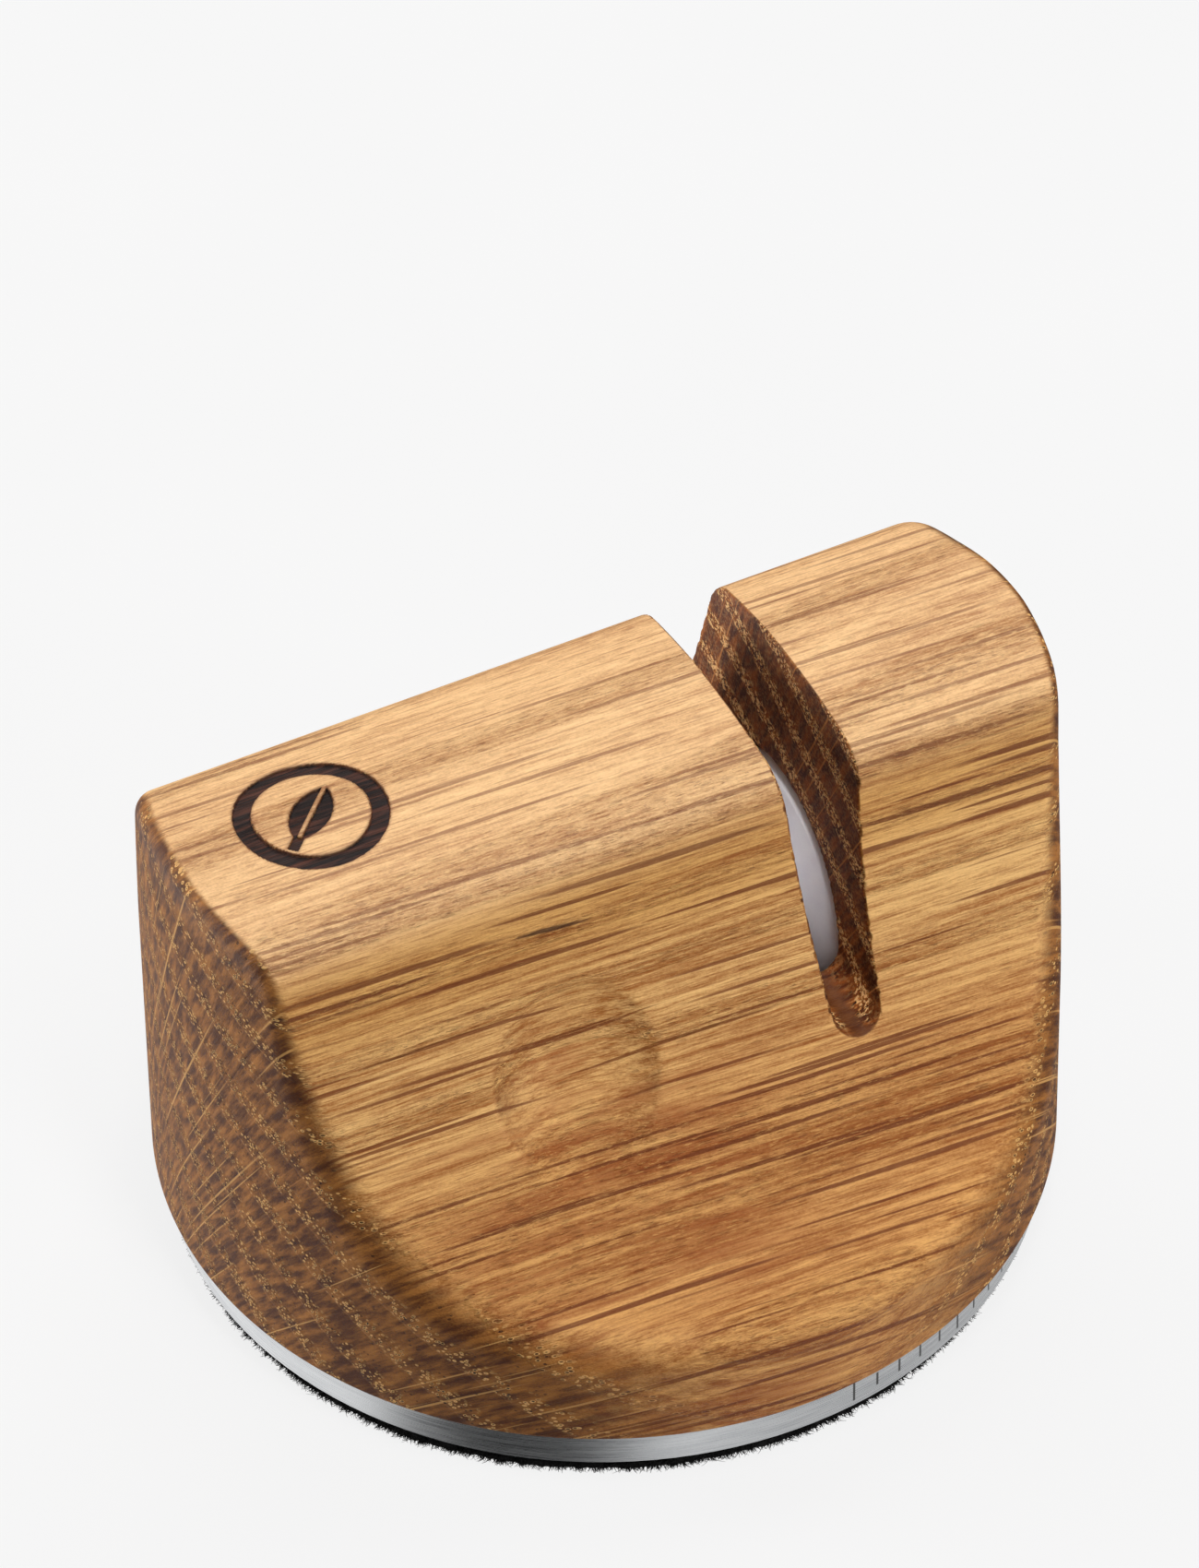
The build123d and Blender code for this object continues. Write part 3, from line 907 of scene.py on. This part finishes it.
def oak():
    """Oiled oak: rings, pores and rays in the wood's own axes, darker on end grain."""
    n = Nodes("oiled_oak")
    place = n.place()
    x, y, z = n.parts(place)
    grain = Grain(n, place)
    # how far the surface cuts across the grain, and how far it lies below the crown
    facing = n.math("ABSOLUTE", n.dot(n.facing(), tuple(GRAIN)))
    endness = n.ramp(facing, 0.12, 0.60)
    deep = n.ramp(z, TOP_Z - 1.5, TOP_Z - 6.0)
    at = SimpleNamespace(x=x, y=y, z=z, deep=deep, endness=endness, sawn=slot_cut(n, x, z))
    wood = wood_cells(n, grain, endness)
    wood.open_grain = n.math("MULTIPLY_ADD", wood.early, 0.75, 0.25)
    tones = wood_tones(n, grain, place)
    colour = n.mix(endness, long_grain_colour(n, grain, wood, tones, at),
                   end_grain_colour(n, wood, tones, at))

    # burned mark on the crown, with a scorched edge
    edge = mark_outline(n, x, y)
    on_top = n.ramp(z, TOP_Z - 2.5, TOP_Z - 2.0)
    scorch = n.math("MULTIPLY", n.ramp(edge, 0.0, 0.35, 0.55, 0), on_top)
    burned = n.math("MULTIPLY", n.ramp(edge, -0.05, 0.06, 1, 0), on_top)
    colour = n.mix(scorch, colour, SCORCH_BROWN)
    char = n.mix(n.ramp(tones.ridges, 0.42, 0.72), CHAR_BLACK, CHAR_BROWN)
    colour = n.mix(burned, colour, char)

    height = n.math("MULTIPLY", wood.pore, n.math("MULTIPLY_ADD", endness, -0.7, -0.3))
    for layer, size in ((n.math("MULTIPLY", tones.grit, wood.open_grain), 1.6),
                        (wood.ray, -0.20), (wood.small_ray, -0.12), (tones.fibre, 0.8),
                        (wood.lining, 0.45), (n.math("MULTIPLY", burned, tones.ridges), 2.5)):
        height = n.math("MULTIPLY_ADD", layer, size, height)
    rough = n.ramp(tones.fibre, 0.2, 0.8, 0.40, 0.60)
    rough = n.math("MULTIPLY_ADD", endness, 0.15, rough)
    rough = n.math("MULTIPLY_ADD", burned, 0.10, rough)
    gloss = n.math("MULTIPLY_ADD", burned, -0.14, n.math("MULTIPLY_ADD", deep, -0.16, 0.38))
    n.surface(Base_Color=colour, Roughness=rough, Normal=n.bump(height, 0.12, 1.0),
              Specular_IOR_Level=gloss)
    return n.material


# ---------------------------------------------------------------- other materials


def brushed_steel():
    """Satin stainless steel, turned and brushed round its axis, with etched ticks on the rim."""
    n = Nodes("brushed_steel")
    place = n.place()
    x, y, z = n.parts(place)
    angle = n.math("ARCTAN2", y, x)
    radius = n.length(x, y)
    arc = n.math("MULTIPLY", angle, (plate_high[0] - plate_low[0]) / 2)
    lines = n.noise(n.vector(n.math("MULTIPLY", arc, 0.12), n.math("MULTIPLY", radius, 9.0),
                             n.math("MULTIPLY", z, 9.0)), detail=3, roughness=0.7)
    cloud = n.noise(n.vector(n.math("MULTIPLY", arc, 0.1), n.math("MULTIPLY", radius, 0.2), z),
                    detail=2)
    colour = n.mix(n.ramp(lines, 0.3, 0.7), linear(168, 170, 172), linear(202, 203, 204))
    colour = n.mix(n.ramp(cloud, 0.35, 0.7, 0, 0.25), colour, linear(150, 151, 154))
    # etched ticks on the front right of the rim, every fifth one longer
    along = n.math("SUBTRACT", arc, TICK_START)
    step = n.math("DIVIDE", along, TICK_PITCH)
    off = n.math("MULTIPLY", n.math("ABSOLUTE", n.math("SUBTRACT", n.math("FRACT", step), 0.5)),
                 TICK_PITCH)
    order = n.math("FLOORED_MODULO", n.math("FLOOR", step), TICKS_PER_LONG_ONE)
    longer = n.math("COMPARE", order, 0.0, 0.1)
    reach = n.math("MULTIPLY_ADD", longer, TICK_EXTRA_HEIGHT, TICK_HALF_HEIGHT)
    middle_z = (plate_low[2] + plate_high[2]) / 2
    upright = n.math("SUBTRACT", reach, n.math("ABSOLUTE", n.math("SUBTRACT", z, middle_z)))
    tick = n.math("MULTIPLY", n.ramp(off, 0.09, 0.15, 1, 0), n.ramp(upright, -0.03, 0.03))
    inside = n.math("MULTIPLY", n.ramp(step, 0.0, 0.05),
                    n.ramp(step, TICK_COUNT - 0.05, TICK_COUNT, 1, 0))
    tick = n.math("MULTIPLY", tick, inside)
    colour = n.mix(n.math("MULTIPLY", tick, 0.85), colour, linear(58, 56, 54))
    rough = n.ramp(lines, 0.25, 0.75, 0.22, 0.34)
    rough = n.math("MULTIPLY_ADD", tick, 0.25, rough)
    height = n.math("MULTIPLY_ADD", tick, -2.0, lines)
    n.surface(Base_Color=colour, Metallic=1.0, Roughness=rough, Normal=n.bump(height, 0.006, 0.6))
    return n.material


def fibre_pad():
    """Black non-slip felt."""
    n = Nodes("black_pad")
    place = n.place()
    fuzz = n.noise(place, 5.0, 4, 0.7)
    colour = n.mix(n.ramp(fuzz, 0.3, 0.7), linear(8, 8, 8), linear(26, 26, 26))
    n.surface(Base_Color=colour, Roughness=0.95, Normal=n.bump(fuzz, 0.12, 0.8),
              Specular_IOR_Level=0.2)
    return n.material


def ceramic():
    """Fine white sintered ceramic."""
    n = Nodes("white_ceramic")
    place = n.place()
    grit = n.noise(place, 7.0, 3, 0.6)
    cloud = n.noise(place, 0.35, 2)
    colour = n.mix(n.ramp(cloud, 0.3, 0.7), linear(240, 237, 244), linear(249, 247, 251))
    colour = n.mix(n.ramp(grit, 0.45, 0.8, 0, 0.25), colour, linear(222, 217, 228))
    rough = n.ramp(grit, 0.3, 0.7, 0.38, 0.52)
    n.surface(Base_Color=colour, Roughness=rough, Normal=n.bump(grit, 0.01, 0.5),
              Subsurface_Weight=0.35, Subsurface_Scale=0.004, Subsurface_Radius=(1, 0.9, 0.9))
    return n.material


def moulded_plastic(name, dark, light):
    """Moulded nylon with a fine spark-eroded texture."""
    n = Nodes(name)
    place = n.place()
    grain = n.noise(place, 3.2, 3, 0.6)
    flow = n.noise(place, 0.18, 2)
    colour = n.mix(n.ramp(flow, 0.3, 0.7), linear(*dark), linear(*light))
    rough = n.ramp(grain, 0.3, 0.7, 0.42, 0.58)
    n.surface(Base_Color=colour, Roughness=rough, Normal=n.bump(grain, 0.02, 0.6))
    return n.material


def ground_steel(name, tint, lower, upper):
    """Bare or plated steel with fine marks along X and slight clouding."""
    n = Nodes(name)
    place = n.place()
    x, y, z = n.parts(place)
    marks = n.noise(n.vector(n.math("MULTIPLY", x, 0.8), n.math("MULTIPLY", y, 8.0),
                             n.math("MULTIPLY", z, 8.0)), detail=2)
    cloud = n.noise(place, 0.9, 3)
    colour = n.mix(n.ramp(cloud, 0.3, 0.7), linear(*tint), linear(*(c * 0.86 for c in tint)))
    rough = n.ramp(marks, 0.3, 0.7, lower, upper)
    n.surface(Base_Color=colour, Metallic=1.0, Roughness=rough, Normal=n.bump(marks, 0.004, 0.5))
    return n.material


def dress(name, material):
    """Gives a CAD node its material."""
    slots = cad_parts[name].material_slots
    if slots:
        for slot in slots:
            slot.material = material
    else:
        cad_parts[name].data.materials.append(material)


# ---------------------------------------------------------------- room, light and camera


def floor():
    """Plain pale floor that sweeps up to a wall all round, unseen by the other surfaces."""
    n = Nodes("pale_floor")
    speck = n.noise(n.place(), 0.02, 2)
    n.surface(Base_Color=n.mix(n.ramp(speck, 0.3, 0.7), (0.08, 0.08, 0.08), (0.085, 0.085, 0.085)),
              Roughness=0.9, Specular_IOR_Level=0.0, Emission_Color=(1, 1, 1),
              Emission_Strength=0.83)
    flat = 1700.0
    sweep = 700.0
    sweep_steps = 9
    wall = 1200.0
    turns = 72
    z = cad_bounds[0][2] / MM
    profile = [(flat * share, z) for share in (0.002, 0.05, 0.2, 0.6, 1.0)]
    profile += [(flat + sweep * math.sin(a), z + sweep * (1 - math.cos(a)))
                for a in np.linspace(0, math.pi / 2, sweep_steps)[1:]]
    profile.append((flat + sweep, z + sweep + wall))
    points = [(radius * math.cos(a), radius * math.sin(a), height) for radius, height in profile
              for a in np.linspace(0, 2 * math.pi, turns, endpoint=False)]
    faces = [(row * turns + i, (row + 1) * turns + i, (row + 1) * turns + (i + 1) % turns,
              row * turns + (i + 1) % turns)
             for row in range(len(profile) - 1) for i in range(turns)]
    faces.append(tuple(range(turns)))
    sheet = mesh_object("floor", points, faces)
    sheet.data.materials.append(n.material)
    sheet.visible_diffuse = False
    sheet.visible_glossy = False
    sheet.visible_transmission = False
    sheet.visible_shadow = False


# World light: its level all round, the glow from below and how much of it is left on the right,
# and the middle of a dark patch in the glow, which the front of the steel rim mirrors
WORLD_DIM = 0.04
WORLD_BRIGHT = 1.3
WORLD_RIGHT_SHARE = 0.55
WORLD_DARK_AIM = (-0.57, -0.44, -0.70)

# name, azimuth and elevation in degrees, distance, width and height in metres, power in watts
SOFT_BOXES = (
    ("back_light", 155, 50, 0.9, 0.7, 0.7, 5.2),
    ("slot_light", 0, 72, 0.9, 0.12, 0.6, 4.9),
    ("front_fill", -14, 42, 0.9, 0.45, 0.55, 1.0),
    ("right_light", 42, 5, 0.9, 0.55, 0.45, 4.3),
    ("left_strip", -128, 4, 0.8, 0.2, 0.5, 6.0),
)


def soft_box(name, azimuth, elevation, distance, width, height, power):
    """Area light that faces the object. Azimuth 0 is the front (-Y) and 90 the right (+X)."""
    a, e = math.radians(azimuth), math.radians(elevation)
    away = Vector((math.sin(a) * math.cos(e), -math.cos(a) * math.cos(e), math.sin(e)))
    data = bpy.data.lights.new(name, "AREA")
    data.shape = "RECTANGLE"
    data.size = width
    data.size_y = height
    data.energy = power
    lamp = bpy.data.objects.new(name, data)
    middle = Vector((0, 0, (SEAM_Z + TOP_Z) / 2 * MM))
    lamp.location = middle + away * distance
    lamp.rotation_mode = "QUATERNION"
    lamp.rotation_quaternion = (-away).to_track_quat("-Z", "Y")
    lamp.visible_camera = False
    bpy.context.scene.collection.objects.link(lamp)


def lights():
    """Soft boxes round the object, and a white glow from below with a dark patch."""
    for row in SOFT_BOXES:
        soft_box(*row)
    world = bpy.data.worlds.new("studio")
    bpy.context.scene.world = world
    world.use_nodes = True
    nodes, links = world.node_tree.nodes, world.node_tree.links
    heading = nodes.new("ShaderNodeTexCoord").outputs["Generated"]

    def fade(direction, start, end, low=0.0, high=1.0):
        """From low to high as the heading's share along the direction goes from start to end."""
        share = nodes.new("ShaderNodeVectorMath")
        share.operation = "DOT_PRODUCT"
        share.inputs[1].default_value = direction
        links.new(heading, share.inputs[0])
        step = nodes.new("ShaderNodeMapRange")
        step.interpolation_type = "SMOOTHSTEP"
        step.inputs["From Min"].default_value = start
        step.inputs["From Max"].default_value = end
        step.inputs["To Min"].default_value = low
        step.inputs["To Max"].default_value = high
        links.new(share.outputs["Value"], step.inputs["Value"])
        return step.outputs[0]

    def product(a, b):
        node = nodes.new("ShaderNodeMath")
        node.operation = "MULTIPLY"
        links.new(a, node.inputs[0])
        links.new(b, node.inputs[1])
        return node.outputs[0]

    glow = product(fade(WORLD_DARK_AIM, 0.985, 0.86), fade((0, 0, -1), 0.35, 0.60))
    glow = product(glow, fade((-1, 0, 0), 0.5, -0.5, WORLD_BRIGHT,
                              WORLD_BRIGHT * WORLD_RIGHT_SHARE))
    total = nodes.new("ShaderNodeMath")
    total.operation = "ADD"
    total.inputs[1].default_value = WORLD_DIM
    links.new(glow, total.inputs[0])
    links.new(total.outputs[0], nodes["Background"].inputs[1])
    nodes["Background"].inputs[0].default_value = (1, 1, 1, 1)


def camera():
    """Camera to the left of the front, looking down, with a long lens."""
    azimuth = math.radians(26.577)
    elevation = math.radians(44.135)
    distance = 0.862378
    target = Vector((0, 0, SEAM_Z + 25)) * MM
    aim = Vector((3.32, 6.50, SEAM_Z + 32.616)) * MM
    roll = math.radians(-0.915)
    away = Vector((-math.sin(azimuth) * math.cos(elevation),
                   -math.cos(azimuth) * math.cos(elevation), math.sin(elevation)))
    data = bpy.data.cameras.new("camera")
    data.sensor_width = 36.0
    data.lens = 228.31
    data.clip_start = 0.05
    data.clip_end = 20.0
    eye = bpy.data.objects.new("camera", data)
    eye.location = target + away * distance
    eye.rotation_mode = "QUATERNION"
    look = (aim - eye.location).to_track_quat("-Z", "Y")
    eye.rotation_quaternion = look @ Quaternion((0, 0, 1), roll)
    bpy.context.scene.collection.objects.link(eye)
    bpy.context.scene.camera = eye


# ---------------------------------------------------------------- build

camera()
lights()
floor()
bpy.context.scene.view_settings.view_transform = "Standard"

body = oak_body()
body.data.materials.append(oak())
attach(body, "sharpener_body")
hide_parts("wood_body")

dress("base_plate", brushed_steel())
felt = fibre_pad()
pad = felt_pad()
fibres = felt_fibres()
for piece in (pad, fibres):
    piece.data.materials.append(felt)
    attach(piece, "sharpener_body")
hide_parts("grip_pad")
white = ceramic()
dress("grinding_wheel_left", white)
dress("grinding_wheel_right", white)
dress("wheel_cradle", moulded_plastic("cradle_nylon", (38, 39, 41), (52, 53, 55)))
hub = moulded_plastic("hub_acetal", (70, 72, 75), (86, 88, 91))
dress("wheel_hub", hub)
dress("hub_cap", hub)
pin = ground_steel("pin_steel", (196, 198, 200), 0.16, 0.30)
for name in ("axle_pin", "washer_left", "washer_right"):
    dress(name, pin)
zinc = ground_steel("zinc_plate", (190, 194, 196), 0.26, 0.42)
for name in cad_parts:
    if "_screw_" in name:
        dress(name, zinc)
